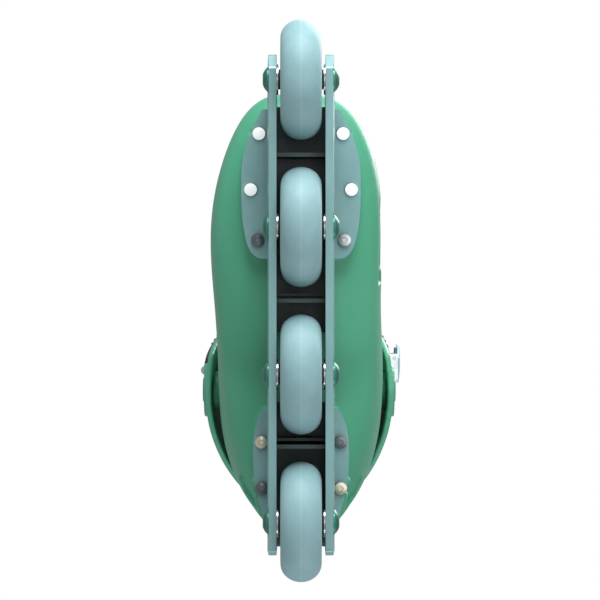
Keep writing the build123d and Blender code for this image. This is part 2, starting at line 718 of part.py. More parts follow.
def build_fasteners():
    under = FRONT_DECK_Z - FLANGE_T
    decks = ((FRONT_SCREWS, FRONT_DECK_Z), (REAR_SCREWS, REAR_DECK_Z))
    inserts = [insert(x, y, deck_z) for holes, deck_z in decks for x, y in both(holes)]
    save(group(sole_fastener(x, y, under, FRONT_SPOT_Z) for x, y in both(RIVETS)), "frame_rivets")
    save(group(mount_screws(FRONT_SCREWS, FRONT_DECK_Z)), "front_mount_screws")
    save(group(mount_screws(REAR_SCREWS, REAR_DECK_Z)), "rear_mount_screws")
    save(group(inserts), "mount_inserts")


def pivot_bolt(side, boss_x):
    """The shouldered bolt that the cuff turns on, with a domed socket head."""
    seat = boss_x - 1.6
    with BuildPart() as body:
        add(x_cylinder(PIVOT_R, side * 43.7, side * seat, PIVOT_Y, PIVOT_Z))
        add(x_cylinder(8.0, side * seat, side * (boss_x + 0.9), PIVOT_Y, PIVOT_Z))
        edge = body.faces().sort_by(Axis.X)[-1 if side > 0 else 0].edges()
        chamfer(edge, 0.8)
        with BuildSketch(Plane.YZ.offset(side * (boss_x + 1.0) - 1.2)):
            with Locations((PIVOT_Y, PIVOT_Z)):
                RegularPolygon(3.0, 6)
        extrude(amount=2.4, mode=Mode.SUBTRACT)
    return body.part


def pivot_nut(side):
    """The flat round nut of a pivot bolt, let into the inside of the shell."""
    with BuildPart() as body:
        add(x_cylinder(8.0, side * 43.7, side * 45.2, PIVOT_Y, PIVOT_Z))
        add(x_cylinder(PIVOT_R + FIT, side * 43, side * 46, PIVOT_Y, PIVOT_Z), mode=Mode.SUBTRACT)
    return body.part


def build_pivots():
    save(group(pivot_bolt(s, r) for s, r in zip((-1, 1), BOSS_OUT_X)), "cuff_pivot_bolts")
    save(group(pivot_nut(s) for s in (-1, 1)), "cuff_pivot_nuts")


# ---- ratchet buckle and ladder strap -----------------------------------------------------------
STRAP_LOW_Z, STRAP_TOP_Z = STRAP_Z - STRAP_H / 2, STRAP_Z + STRAP_H / 2
PAD_X = (58.2, 55.6)
BUCKLE_FRONT_Y = 38.0
CHEEK_T = 1.4
LEVER_PIN = (62.6, 53.0)
PAWL_PIN = (61.6, 38.0)
STRAP_PIN = (-63.0, 46.0)
PIN_R = 1.3
# The inside of the strap in plan, from its hinge on the inner side to its free end in the buckle.
STRAP_ROUTE = [(-61.9, 46.0), (-61.0, 39.0), (-57.0, 30.0), (-49.0, 19.0), (-37.0, 6.0), (-20.0, -4.0)]
STRAP_ROUTE += [(0.0, -8.0), (20.0, -4.0), (36.0, 5.5), (47.5, 17.5), (54.0, 28.5), (57.2, 38.0)]
STRAP_ROUTE += [(57.7, 49.0)]
LEVER_BACK = [(64.0, 54.8), (65.2, 47.0), (65.4, 38.0), (64.6, 28.4)]
LEVER_UNDER = [(62.9, 28.4), (63.4, 38.0), (63.3, 47.0), (62.0, 51.0)]


def z_box(x0, x1, y0, y1, z0, z1):
    """A block between two corners."""
    with BuildPart() as body:
        with Locations(((x0 + x1) / 2, (y0 + y1) / 2, (z0 + z1) / 2)):
            Box(abs(x1 - x0), abs(y1 - y0), abs(z1 - z0))
    return body.part


def ladder_strap():
    """The ratchet strap: a band round the front of the cuff, with an eye for its hinge pin."""
    outer = []
    for k, (x, y) in enumerate(STRAP_ROUTE):
        before = STRAP_ROUTE[max(k - 1, 0)]
        after = STRAP_ROUTE[min(k + 1, len(STRAP_ROUTE) - 1)]
        run_x, run_y = after[0] - before[0], after[1] - before[1]
        length = sqrt(run_x**2 + run_y**2)
        outer.append((x + STRAP_T * run_y / length, y - STRAP_T * run_x / length))
    with BuildPart() as body:
        with BuildSketch(Plane.XY.offset(STRAP_LOW_Z + 1)):
            with BuildLine():
                inner_edge = Spline(*STRAP_ROUTE)
                outer_edge = Spline(*outer)
                Line(inner_edge @ 0, outer_edge @ 0)
                Line(inner_edge @ 1, outer_edge @ 1)
            make_face()
        extrude(amount=STRAP_H - 2)
        add(z_box(-66, -56, 38.5, 52, STRAP_LOW_Z, STRAP_Z - 6), mode=Mode.SUBTRACT)
        add(z_box(-66, -56, 38.5, 52, STRAP_Z + 6, STRAP_TOP_Z), mode=Mode.SUBTRACT)
        add(z_cylinder(3.0, STRAP_Z - 6, STRAP_Z + 6, *STRAP_PIN))
        add(z_cylinder(PIN_R + 0.05, STRAP_LOW_Z, STRAP_TOP_Z, *STRAP_PIN), mode=Mode.SUBTRACT)
    return body


def strap_anchor():
    """The plate on the inner side of the cuff, with two knuckles for the strap's hinge pin."""
    with BuildPart() as body:
        add(z_box(-PAD_X[0], -PAD_X[0] - 1.4, 43, 64, STRAP_Z - 9.5, STRAP_Z + 9.5))
        for z0, z1 in ((STRAP_Z - 9.5, STRAP_Z - 6.1), (STRAP_Z + 6.1, STRAP_Z + 9.5)):
            add(z_cylinder(3.0, z0, z1, *STRAP_PIN))
            add(z_box(-59.0, -63.0, 46, 49, z0, z1))
        add(x_cylinder(2.5 + FIT, -70, -50, 57, STRAP_Z), mode=Mode.SUBTRACT)
        add(z_cylinder(PIN_R + FIT, STRAP_LOW_Z - 1, STRAP_TOP_Z + 1, *STRAP_PIN), mode=Mode.SUBTRACT)
    return body


def strap_pin():
    """The hinge pin of the ladder strap."""
    with BuildPart() as body:
        add(z_cylinder(PIN_R, STRAP_Z - 9.8, STRAP_Z + 9.8, *STRAP_PIN))
    return body


def side_screw(side, seat_x, y):
    """A round-headed screw along X into the cuff wall."""
    with BuildPart() as body:
        add(x_cylinder(4.2, side * seat_x, side * (seat_x + 2.0), y, STRAP_Z))
        chamfer(body.faces().sort_by(Axis.X)[-1 if side > 0 else 0].edges(), 0.9)
        add(x_cylinder(2.5, side * (seat_x - 5.4), side * seat_x, y, STRAP_Z))
        add(x_cylinder(1.2, side * (seat_x + 1.0), side * (seat_x + 2.5), y, STRAP_Z), mode=Mode.SUBTRACT)
    return body.part


def buckle_base():
    """The steel channel of the ratchet buckle: a floor plate and two cheeks."""
    floor_x = PAD_X[1]
    with BuildPart() as body:
        add(z_box(floor_x, floor_x + 1.0, BUCKLE_FRONT_Y, 66, STRAP_LOW_Z - 1.6, STRAP_TOP_Z + 1.6))
        for z in (STRAP_LOW_Z - 1.6, STRAP_TOP_Z + 1.6 - CHEEK_T):
            add(z_box(floor_x + 0.5, 63.9, BUCKLE_FRONT_Y - 3, 56, z, z + CHEEK_T))
        for pin in (LEVER_PIN, PAWL_PIN):
            add(z_cylinder(PIN_R + FIT, STRAP_LOW_Z - 4, STRAP_TOP_Z + 4, *pin), mode=Mode.SUBTRACT)
        add(x_cylinder(2.5 + FIT, 50, 70, 61, STRAP_Z), mode=Mode.SUBTRACT)
    return body


def buckle_pins():
    """The two pins across the cheeks of the buckle."""
    z0, z1 = STRAP_LOW_Z - 2.0, STRAP_TOP_Z + 2.0
    return group(z_cylinder(PIN_R, z0, z1, *pin) for pin in (LEVER_PIN, PAWL_PIN))


def lever_outline():
    """The lever seen from the side of the leg: parallel at the pin and pointed at the finger end."""
    half, tip = STRAP_H / 2 - 0.1, 4.0
    upper = [(57, half), (38, half), (29.6, tip), (28.4, 0)]
    lower = [(29.6, -tip), (38, -half), (57, -half)]
    return [(y, STRAP_Z + rise) for y, rise in upper + lower]


def buckle_lever():
    """The closing lever, turned on the rear pin, with its finger end towards the toes."""
    with BuildPart() as body:
        with BuildSketch(Plane.XY.offset(STRAP_LOW_Z)):
            with BuildLine():
                back = Spline(*LEVER_BACK, tangents=[(0.3, -1), (-0.25, -1)])
                under = Spline(*LEVER_UNDER, tangents=[(0.2, 1), (-0.8, 1)])
                Line(back @ 1, under @ 0)
                Polyline(under @ 1, (62.6, 54.8), back @ 0)
            make_face()
            with Locations(LEVER_PIN):
                Circle(2.05)
        extrude(amount=STRAP_H)
        add(side_prism(lever_outline(), 55, 70), mode=Mode.INTERSECT)
        add(z_cylinder(PIN_R + 0.05, STRAP_LOW_Z - 1, STRAP_TOP_Z + 1, *LEVER_PIN), mode=Mode.SUBTRACT)
    return body


def release_pawl():
    """The sprung pawl: a tooth in the strap's ladder and a tab in front for the finger."""
    with BuildPart() as body:
        with BuildSketch(Plane.XY.offset(STRAP_Z - 7)):
            with Locations(PAWL_PIN):
                Circle(PIN_R + 0.3)
            with BuildLine():
                Polyline((61.9, 31.0), (62.9, 31.0), (62.6, 38.0), (61.5, 38.0), close=True)
            make_face()
            with BuildLine():
                Polyline((62.0, 38.0), (62.2, 44.6), (60.9, 44.6), (61.0, 38.0), close=True)
            make_face()
        extrude(amount=14)
        add(z_cylinder(PIN_R + 0.05, STRAP_LOW_Z, STRAP_TOP_Z, *PAWL_PIN), mode=Mode.SUBTRACT)
    return body


def build_buckle():
    for make in (ladder_strap, strap_anchor, strap_pin, buckle_base, buckle_lever, release_pawl):
        save(make().part, make.__name__)
    save(buckle_pins(), "buckle_pins")
    save(group([side_screw(-1, PAD_X[0] + 1.4, 57), side_screw(1, PAD_X[1] + 1.0, 61)]), "buckle_screws")


# ---- instep strap ------------------------------------------------------------------------------
INSTEP_BAND = [(-33.6, 195.8), (-54.4, 180.2), (-23.2, 138.6), (-2.4, 154.2)]


def instep_strap():
    """The hook-and-loop strap over the instep, riveted to both sides of the shell."""
    with BuildPart() as body:
        add(foot_solid(-3.2))
        add(foot_solid(-1.2), mode=Mode.SUBTRACT)
        add(side_prism(INSTEP_BAND), mode=Mode.INTERSECT)
    return body


if __name__ == "__main__":
    build_wheels()
    build_axles()
    build_fasteners()
    build_pivots()
    build_buckle()
    save(frame().part, "frame")
    for make in (shell, liner_foot, tongue, liner_collar, tongue_top, footbed, cuff, instep_strap):
        save(make().part, make.__name__)
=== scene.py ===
"""Looks, light and camera for the inline skate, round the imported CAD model."""

import json
import math

import bpy
import bmesh
import numpy as np
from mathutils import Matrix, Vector
from mathutils.bvhtree import BVHTree


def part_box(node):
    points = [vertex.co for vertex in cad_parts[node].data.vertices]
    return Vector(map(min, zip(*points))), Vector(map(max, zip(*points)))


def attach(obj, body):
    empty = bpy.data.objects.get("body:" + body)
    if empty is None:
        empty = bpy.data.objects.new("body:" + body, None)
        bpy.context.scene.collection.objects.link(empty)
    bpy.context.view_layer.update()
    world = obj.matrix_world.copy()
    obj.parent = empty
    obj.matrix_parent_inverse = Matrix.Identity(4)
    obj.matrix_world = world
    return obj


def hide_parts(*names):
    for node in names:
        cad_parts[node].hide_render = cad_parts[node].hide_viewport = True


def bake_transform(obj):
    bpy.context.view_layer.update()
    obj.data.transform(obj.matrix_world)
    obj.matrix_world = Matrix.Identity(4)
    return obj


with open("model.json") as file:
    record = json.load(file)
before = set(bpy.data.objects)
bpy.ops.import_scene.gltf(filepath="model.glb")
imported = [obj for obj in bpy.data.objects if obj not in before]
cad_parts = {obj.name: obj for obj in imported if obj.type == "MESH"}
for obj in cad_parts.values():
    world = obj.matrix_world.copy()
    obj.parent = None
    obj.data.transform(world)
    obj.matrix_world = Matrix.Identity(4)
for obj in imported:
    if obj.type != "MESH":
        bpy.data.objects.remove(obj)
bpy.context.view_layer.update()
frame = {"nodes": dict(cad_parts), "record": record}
NODES = frame["nodes"]
RECORD = frame["record"]
NODE_SLOT = {s["node"]: s["material_slot"] for s in RECORD["subparts"]}
MM = 0.001


# ---- camera: below the wheels, looking straight up, toe at the top of the picture -----------------
AXLE_HEIGHT = (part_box("wheel_1_tyre")[0].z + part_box("wheel_1_tyre")[1].z) / 2
CAMERA_DEPTH = 1.5
VIEW_WIDTH = 0.350
cam_data = bpy.data.cameras.new("camera")
cam_data.sensor_width = 36.0
cam_data.lens = 36.0 * (CAMERA_DEPTH + AXLE_HEIGHT) / VIEW_WIDTH
camera = bpy.data.objects.new("camera", cam_data)
camera.location = (-0.0006, -0.0004, -CAMERA_DEPTH)
camera.rotation_euler = (math.pi, 0.0, 0.0)
bpy.context.scene.collection.objects.link(camera)
bpy.context.scene.camera = camera


# ---- node helpers --------------------------------------------------------------------------------
def colour(r, g, b):
    """A scene-linear colour from three 0 to 255 display values."""
    def linear(c):
        c /= 255
        return c / 12.92 if c <= 0.04045 else ((c + 0.055) / 1.055) ** 2.4
    return (linear(r), linear(g), linear(b), 1.0)


class Nodes:
    """A small builder round one material's node tree."""

    def __init__(self, name):
        self.mat = bpy.data.materials.new(name)
        self.mat.use_nodes = True
        self.tree = self.mat.node_tree
        self.bsdf = self.tree.nodes["Principled BSDF"]
        self.coords = self.add("ShaderNodeTexCoord").outputs["Object"]

    def add(self, kind, **settings):
        node = self.tree.nodes.new(kind)
        for key, value in settings.items():
            setattr(node, key, value)
        return node

    def link(self, a, b):
        self.tree.links.new(a, b)

    def set(self, **values):
        for key, value in values.items():
            self.bsdf.inputs[key.replace("_", " ")].default_value = value

    def noise(self, scale, detail=3.0, rough=0.5, stretch=(1, 1, 1)):
        mapping = self.add("ShaderNodeMapping")
        mapping.inputs["Scale"].default_value = stretch
        self.link(self.coords, mapping.inputs["Vector"])
        tex = self.add("ShaderNodeTexNoise")
        tex.inputs["Scale"].default_value = scale
        tex.inputs["Detail"].default_value = detail
        tex.inputs["Roughness"].default_value = rough
        self.link(mapping.outputs["Vector"], tex.inputs["Vector"])
        return tex.outputs["Fac"]

    def ramp(self, source, low, high, a=0.0, b=1.0):
        """Maps source from low..high to a..b."""
        node = self.add("ShaderNodeMapRange")
        for key, value in (("From Min", low), ("From Max", high), ("To Min", a), ("To Max", b)):
            node.inputs[key].default_value = value
        self.link(source, node.inputs["Value"])
        return node.outputs["Result"]

    def mix(self, factor, a, b, blend="MIX"):
        node = self.add("ShaderNodeMix", data_type="RGBA", blend_type=blend)
        for socket, value in ((node.inputs["Factor"], factor), (node.inputs["A"], a), (node.inputs["B"], b)):
            if isinstance(value, (tuple, float, int)):
                socket.default_value = value
            else:
                self.link(value, socket)
        return node.outputs["Result"]

    def math(self, operation, a, b=0.0):
        node = self.add("ShaderNodeMath", operation=operation)
        for socket, value in zip(node.inputs, (a, b)):
            if isinstance(value, (float, int)):
                socket.default_value = value
            else:
                self.link(value, socket)
        return node.outputs["Value"]

    def bump(self, height, strength, distance, after=None):
        node = self.add("ShaderNodeBump")
        node.inputs["Strength"].default_value = strength
        node.inputs["Distance"].default_value = distance
        self.link(height, node.inputs["Height"])
        if after is not None:
            self.link(after, node.inputs["Normal"])
        return node.outputs["Normal"]

    def edges(self, low=0.52, high=0.62):
        """1 on convex edges and 0 elsewhere."""
        geometry = self.add("ShaderNodeNewGeometry")
        return self.ramp(geometry.outputs["Pointiness"], low, high)

    def painted_recess_shade(self, distance, dark=0.2):
        """A multiplier that falls to dark in deep recesses: painted shade, standing in for light that doesn't
        reach them.
        """
        occlusion = self.add("ShaderNodeAmbientOcclusion", samples=8)
        occlusion.inputs["Distance"].default_value = distance
        return self.ramp(occlusion.outputs["AO"], 0.12, 0.6, dark, 1.0)

    def axis(self, name):
        split = self.add("ShaderNodeSeparateXYZ")
        self.link(self.coords, split.inputs["Vector"])
        return split.outputs[name]


# ---- materials -----------------------------------------------------------------------------------
def moulded_plastic(name, base, light, rough=0.42, coat=0.12, grain=0.25):
    """Moulded polymer: faint flow marks, spark-eroded grain, rubbed edges."""
    n = Nodes(name)
    flow = n.noise(14, 4, 0.6, (1.0, 0.45, 1.0))
    tint = n.mix(n.ramp(flow, 0.35, 0.7), base, light)
    n.link(n.mix(n.math("MULTIPLY", n.edges(), 0.45), tint, light), n.bsdf.inputs["Base Color"])
    fine = n.noise(1900, 2, 0.5)
    n.link(n.ramp(n.noise(60, 5, 0.6), 0.3, 0.7, rough - 0.05, rough + 0.08), n.bsdf.inputs["Roughness"])
    n.link(n.bump(fine, grain, 0.00012, n.bump(flow, 0.05, 0.001)), n.bsdf.inputs["Normal"])
    n.set(Coat_Weight=coat, Coat_Roughness=0.28, Subsurface_Weight=0.06, Subsurface_Scale=0.004)
    n.bsdf.inputs["Subsurface Radius"].default_value = (0.6, 1.0, 0.8)
    n.set(Specular_IOR_Level=0.42)
    return n.mat


def urethane(name):
    """Cast urethane: slightly see-through, matt tread, a fine parting line and faint dust."""
    n = Nodes(name)
    cloud = n.noise(55, 4, 0.6)
    speck = n.ramp(n.noise(900, 2, 0.7), 0.66, 0.74)
    base = n.mix(n.ramp(cloud, 0.3, 0.75), colour(142, 182, 187), colour(158, 196, 201))
    base = n.mix(n.math("MULTIPLY", speck, 0.22), base, colour(232, 244, 246))
    x = n.math("ABSOLUTE", n.axis("X"))
    line = n.ramp(x, 0.0002, 0.0006, 1.0, 0.0)
    n.link(n.mix(n.math("MULTIPLY", line, 0.14), base, colour(202, 228, 232)), n.bsdf.inputs["Base Color"])
    n.link(n.ramp(n.noise(180, 4, 0.6), 0.3, 0.7, 0.46, 0.6), n.bsdf.inputs["Roughness"])
    skin = n.bump(n.noise(700, 3, 0.6), 0.12, 0.0002)
    n.link(n.bump(line, 0.12, 0.0002, skin), n.bsdf.inputs["Normal"])
    n.set(Subsurface_Weight=0.25, Subsurface_Scale=0.006, Specular_IOR_Level=0.4)
    n.bsdf.inputs["Subsurface Radius"].default_value = (0.7, 1.0, 1.0)
    return n.mat


def powder_coat(name, base, light):
    """Satin powder coat: orange peel, tiny sparkle, paint worn thin on edges and painted shade, near black
    teal, in deep recesses.
    """
    n = Nodes(name)
    broad = n.noise(25, 4, 0.6)
    tint = n.mix(n.ramp(broad, 0.3, 0.75), base, light)
    worn = n.mix(n.math("MULTIPLY", n.edges(0.51, 0.6), 0.5), tint, light)
    # painted shade: deep recesses, such as the pockets between the rails, are darkened towards near black
    # teal
    n.link(n.mix(n.painted_recess_shade(0.05, 0.04), (0.003, 0.011, 0.012, 1.0), worn), n.bsdf.inputs["Base Color"])
    n.link(n.ramp(n.noise(90, 4, 0.6), 0.3, 0.7, 0.34, 0.46), n.bsdf.inputs["Roughness"])
    n.link(n.bump(n.noise(1300, 2, 0.5), 0.22, 0.0001), n.bsdf.inputs["Normal"])
    n.set(Metallic=0.25, Coat_Weight=0.25, Coat_Roughness=0.25, Specular_IOR_Level=0.5)
    return n.mat


def metal(name, base, rough, brushed=0.15, dulled=None):
    """Bare metal with brushing marks, smudges and painted shade, near black, in narrow crevices. dulled is
    the colour of the pieces that have aged, on one diagonal about the point (0, y), and that y."""
    n = Nodes(name)
    marks = n.noise(350, 3, 0.6, (1, 1, 40))
    smudge = n.noise(70, 4, 0.6)
    dark = tuple(c * 0.72 for c in base[:3]) + (1.0,)
    clean = n.mix(n.ramp(smudge, 0.35, 0.75), dark, base)
    if dulled:
        aged, centre_y = dulled
        diagonal = n.math("MULTIPLY", n.axis("X"), n.math("SUBTRACT", n.axis("Y"), centre_y))
        clean = n.mix(n.ramp(diagonal, -1e-6, 1e-6), aged, clean)
    # painted shade: crevices a few millimetres deep are darkened towards near black
    n.link(n.mix(n.painted_recess_shade(0.003, 0.05), (0.01, 0.01, 0.01, 1.0), clean), n.bsdf.inputs["Base Color"])
    n.link(n.ramp(smudge, 0.3, 0.7, rough * 0.75, rough * 1.35), n.bsdf.inputs["Roughness"])
    n.link(n.bump(marks, brushed, 0.0001), n.bsdf.inputs["Normal"])
    n.set(Metallic=1.0)
    return n.mat


def tumbled_glowing(name):
    """Tumbled bright aluminium, nearly white and without clear reflections, with a faint painted glow that
    keeps it bright.
    """
    n = Nodes(name)
    spots = n.noise(420, 3, 0.6)
    tint = n.mix(n.ramp(spots, 0.3, 0.75), colour(236, 240, 238), colour(252, 254, 253))
    n.link(tint, n.bsdf.inputs["Base Color"])
    n.link(n.ramp(spots, 0.3, 0.7, 0.45, 0.6), n.bsdf.inputs["Roughness"])
    n.link(n.bump(spots, 0.2, 0.0001), n.bsdf.inputs["Normal"])
    n.set(Metallic=0.15)
    # painted light: a faint white glow, though the rivets are no lamp
    n.bsdf.inputs["Emission Color"].default_value = (1, 1, 1, 1)
    n.set(Emission_Strength=0.32)
    return n.mat


def anodised(name, base, light):
    """Dyed anodised metal under a clear skin."""
    n = Nodes(name)
    n.link(n.mix(n.edges(0.51, 0.58), base, light), n.bsdf.inputs["Base Color"])
    n.link(n.ramp(n.noise(220, 4, 0.6), 0.3, 0.7, 0.34, 0.48), n.bsdf.inputs["Roughness"])
    n.link(n.bump(n.noise(900, 2, 0.5, (1, 30, 1)), 0.06, 0.0001), n.bsdf.inputs["Normal"])
    n.set(Metallic=0.35, Coat_Weight=0.3, Coat_Roughness=0.25)
    return n.mat


def rubber(name, base):
    """Matt rubber or nylon with a dusty skin."""
    n = Nodes(name)
    dust = n.ramp(n.noise(120, 5, 0.65), 0.45, 0.8)
    n.link(n.mix(n.math("MULTIPLY", dust, 0.2), base, colour(120, 128, 130)), n.bsdf.inputs["Base Color"])
    n.link(n.ramp(n.noise(300, 3, 0.5), 0.3, 0.7, 0.5, 0.7), n.bsdf.inputs["Roughness"])
    n.link(n.bump(n.noise(1500, 2, 0.5), 0.2, 0.0001), n.bsdf.inputs["Normal"])
    return n.mat


def woven(name, base, light, pitch, sheen=0.5, depth=0.0003, slope=(0.0, 0.0)):
    """Cloth of crossing threads. pitch is the thread spacing in metres."""
    n = Nodes(name)
    turned = n.add("ShaderNodeMapping")
    turned.inputs["Rotation"].default_value = (slope[0], 0.0, slope[1])
    n.link(n.coords, turned.inputs["Vector"])
    heights = []
    for direction in ("X", "Y", "Z"):
        wave = n.add("ShaderNodeTexWave", wave_type="BANDS", bands_direction=direction)
        wave.inputs["Scale"].default_value = 0.314 / pitch
        wave.inputs["Distortion"].default_value = 0.4
        wave.inputs["Detail"].default_value = 1.0
        n.link(turned.outputs["Vector"], wave.inputs["Vector"])
        heights.append(wave.outputs["Fac"])
    thread = n.math("MULTIPLY", n.math("MAXIMUM", heights[0], heights[1]), heights[2])
    patch = n.noise(40, 4, 0.6)
    tint = n.mix(n.ramp(patch, 0.3, 0.75), base, light)
    n.link(n.mix(n.ramp(thread, 0.0, 0.5, 0.45, 0.0), tint, tuple(c * 0.35 for c in base[:3]) + (1.0,)),
           n.bsdf.inputs["Base Color"])
    n.link(n.bump(thread, 0.6, depth, n.bump(patch, 0.3, 0.001)), n.bsdf.inputs["Normal"])
    n.set(Roughness=0.85, Sheen_Weight=sheen, Sheen_Roughness=0.4, Specular_IOR_Level=0.25)
    return n.mat


SHELL_GREEN, SHELL_LIGHT = colour(78, 168, 132), colour(90, 180, 144)
STEEL_ROUGHNESS = 0.24
DULL_STEEL = colour(122, 128, 132)
REAR_SCREWS_Y = (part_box("rear_mount_screws")[0].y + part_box("rear_mount_screws")[1].y) / 2
AHEAD_OF_THE_TOE = -1.0
MATERIALS = {
    "shell_green": moulded_plastic("shell_green", SHELL_GREEN, SHELL_LIGHT),
    "cuff_green": moulded_plastic("cuff_green", colour(86, 172, 138), colour(104, 186, 153), 0.4),
    "frame_aqua": powder_coat("frame_aqua", colour(120, 164, 166), colour(142, 186, 187)),
    "urethane": urethane("urethane"),
    "hub_plastic": moulded_plastic("hub_plastic", colour(176, 170, 156), colour(196, 190, 176), 0.5, 0.05),
    "axle_teal": anodised("axle_teal", colour(24, 104, 88), colour(70, 152, 132)),
    "steel": metal("steel", colour(226, 230, 232), STEEL_ROUGHNESS),
    "front_screw_steel": metal("front_screw_steel", colour(226, 230, 232), STEEL_ROUGHNESS,
                               dulled=(DULL_STEEL, AHEAD_OF_THE_TOE)),
    "rear_screw_steel": metal("rear_screw_steel", colour(255, 247, 222), STEEL_ROUGHNESS,
                              dulled=(DULL_STEEL, REAR_SCREWS_Y)),
    "rivet_steel": tumbled_glowing("rivet_steel"),
    "chrome": metal("chrome", colour(240, 243, 246), 0.1, 0.05),
    "seal_black": rubber("seal_black", colour(26, 27, 29)),
    "spacer_black": rubber("spacer_black", colour(30, 32, 34)),
    "lever_blue": moulded_plastic("lever_blue", colour(142, 186, 202), colour(170, 206, 218),
                                  0.28, 0.5, 0.08),
    "pawl_blue": moulded_plastic("pawl_blue", colour(34, 62, 96), colour(58, 92, 128), 0.3, 0.4, 0.08),
    "strap_plastic": moulded_plastic("strap_plastic", colour(52, 62, 66), colour(74, 86, 90), 0.45, 0.1),
    "liner_fabric": woven("liner_fabric", colour(96, 168, 158), colour(116, 186, 176), 0.0011),
    "tongue_fabric": woven("tongue_fabric", colour(92, 164, 150), colour(112, 182, 168), 0.0011),
    "footbed_foam": woven("footbed_foam", colour(54, 66, 70), colour(70, 84, 88), 0.0014),
    "strap_webbing": woven("strap_webbing", colour(52, 128, 108), colour(70, 148, 126),
                           0.0009, 0.3, slope=(0.64, 0)),
}


def thread():
    """Twisted sewing thread."""
    n = Nodes("thread")
    n.link(n.mix(n.noise(1500, 2), colour(196, 214, 208), colour(226, 236, 232)), n.bsdf.inputs["Base Color"])
    n.link(n.bump(n.noise(3000, 1), 0.4, 0.0001), n.bsdf.inputs["Normal"])
    n.set(Roughness=0.7, Sheen_Weight=0.3)
    return n.mat


MATERIALS["thread"] = thread()


def paint(obj, slot):
    obj.data.materials.clear()
    obj.data.materials.append(MATERIALS[slot])


for node_name, node_obj in NODES.items():
    paint(node_obj, NODE_SLOT[node_name])
paint(NODES["frame_rivets"], "rivet_steel")
paint(NODES["front_mount_screws"], "front_screw_steel")
paint(NODES["rear_mount_screws"], "rear_screw_steel")


# ---- mesh helpers --------------------------------------------------------------------------------
def new_object(name, mesh, slot, body):
    """A piece with its material, riding on a body; body None leaves it free for a blend."""
    obj = bpy.data.objects.new(name, mesh)
    bpy.context.scene.collection.objects.link(obj)
    paint(obj, slot)
    mesh.polygons.foreach_set("use_smooth", [True] * len(mesh.polygons))
    if body is not None:
        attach(obj, body)
    return obj


def apply_modifiers(obj):
    depsgraph = bpy.context.evaluated_depsgraph_get()
    mesh = bpy.data.meshes.new_from_object(obj.evaluated_get(depsgraph))
    obj.modifiers.clear()
    obj.data = mesh
    mesh.polygons.foreach_set("use_smooth", [True] * len(mesh.polygons))


def rounded_copy(node, name, body, voxel, passes=6, strength=0.5):
    """A copy of a CAD node with its sharp edges rounded, which stands for the node."""
    obj = new_object(name, NODES[node].data.copy(), NODE_SLOT[node], None)
    remesh = obj.modifiers.new("even", "REMESH")
    remesh.mode, remesh.voxel_size = "VOXEL", voxel
    if passes:
        smooth = obj.modifiers.new("soften", "SMOOTH")
        smooth.factor, smooth.iterations = strength, passes
    apply_modifiers(obj)
    paint(obj, NODE_SLOT[node])
    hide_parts(node)
    if body is not None:
        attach(obj, body)
    return obj


# ---- fabric helpers ------------------------------------------------------------------------------
def surface_of(*nodes):
    """A ray-casting tree over CAD nodes at rest."""
    joined = bmesh.new()
    for node in nodes:
        joined.from_mesh(NODES[node].data)
    tree = BVHTree.FromBMesh(joined)
    joined.free()
    return tree


def fill_gaps(points):
    """Fills missing entries (None) of a line of points from its nearest known neighbours."""
    known = [k for k, p in enumerate(points) if p is not None]
    filled = []
    for k, point in enumerate(points):
        if point is None:
            before = max([i for i in known if i < k], default=None)
            after = min([i for i in known if i > k], default=None)
            if before is None or after is None:
                point = points[after if before is None else before]
            else:
                point = points[before].lerp(points[after], (k - before) / (after - before))
        filled.append(point)
    return filled


def filled_line(values):
    """Fills nan entries of a line of numbers by straight lines between the known ones."""
    values = np.array(values, float)
    known = np.flatnonzero(~np.isnan(values))
    return np.interp(np.arange(len(values)), known, values[known])


def smoothed(grid, rounds):
    """Averages each point of a grid with its neighbours, keeping the border."""
    grid = grid.copy()
    for _ in range(rounds):
        inner = (grid[:-2, 1:-1] + grid[2:, 1:-1] + grid[1:-1, :-2] + grid[1:-1, 2:]) / 4
        grid[1:-1, 1:-1] = 0.5 * grid[1:-1, 1:-1] + 0.5 * inner
        grid[1:-1, 0] = 0.5 * grid[1:-1, 0] + 0.25 * (grid[:-2, 0] + grid[2:, 0])
        grid[1:-1, -1] = 0.5 * grid[1:-1, -1] + 0.25 * (grid[:-2, -1] + grid[2:, -1])
    return grid


def grid_normals(grid):
    along = np.gradient(grid, axis=0)
    across = np.gradient(grid, axis=1)
    normals = np.cross(along, across)
    return normals / np.maximum(np.linalg.norm(normals, axis=2, keepdims=True), 1e-9)


def pad_mesh(name, grid, thickness):
    """A closed pad about a middle surface. thickness is half the pad's at each point, 0 on the border."""
    rows, columns = grid.shape[:2]
    normals = grid_normals(grid)
    border = np.zeros((rows, columns), bool)
    border[0], border[-1], border[:, 0], border[:, -1] = True, True, True, True
    points, index = [], [np.zeros((rows, columns), int), np.zeros((rows, columns), int)]
    for side, sign in ((0, 1), (1, -1)):
        for i in range(rows):
            for j in range(columns):
                if side and border[i, j]:
                    index[1][i, j] = index[0][i, j]
                    continue
                index[side][i, j] = len(points)
                points.append(tuple(grid[i, j] + sign * normals[i, j] * thickness[i, j]))
    faces = []
    for i in range(rows - 1):
        for j in range(columns - 1):
            for side in (0, 1):
                ids = index[side]
                quad = (ids[i, j], ids[i + 1, j], ids[i + 1, j + 1], ids[i, j + 1])
                faces.append(tuple(int(q) for q in (quad if side == 0 else reversed(quad))))
    mesh = bpy.data.meshes.new(name)
    mesh.from_pydata(points, [], faces)
    mesh.update()
    return mesh, index


def edge_rounding(rows, columns, row_step, column_step, radius):
    """1 in the middle of a grid, falling to 0 round its border over the given radius."""
    from_rows = np.minimum(np.arange(rows), np.arange(rows)[::-1]) * row_step / radius
    from_columns = np.minimum(np.arange(columns), np.arange(columns)[::-1]) * column_step / radius
    depth = np.clip(np.minimum.outer(from_rows, from_columns), 0, 1)
    return np.sqrt(1 - (1 - depth) ** 2)


CLOTH_FRAMES = 20
CLOTH_PRESSURE = 4.0
SWELL_CAP = 0.0022


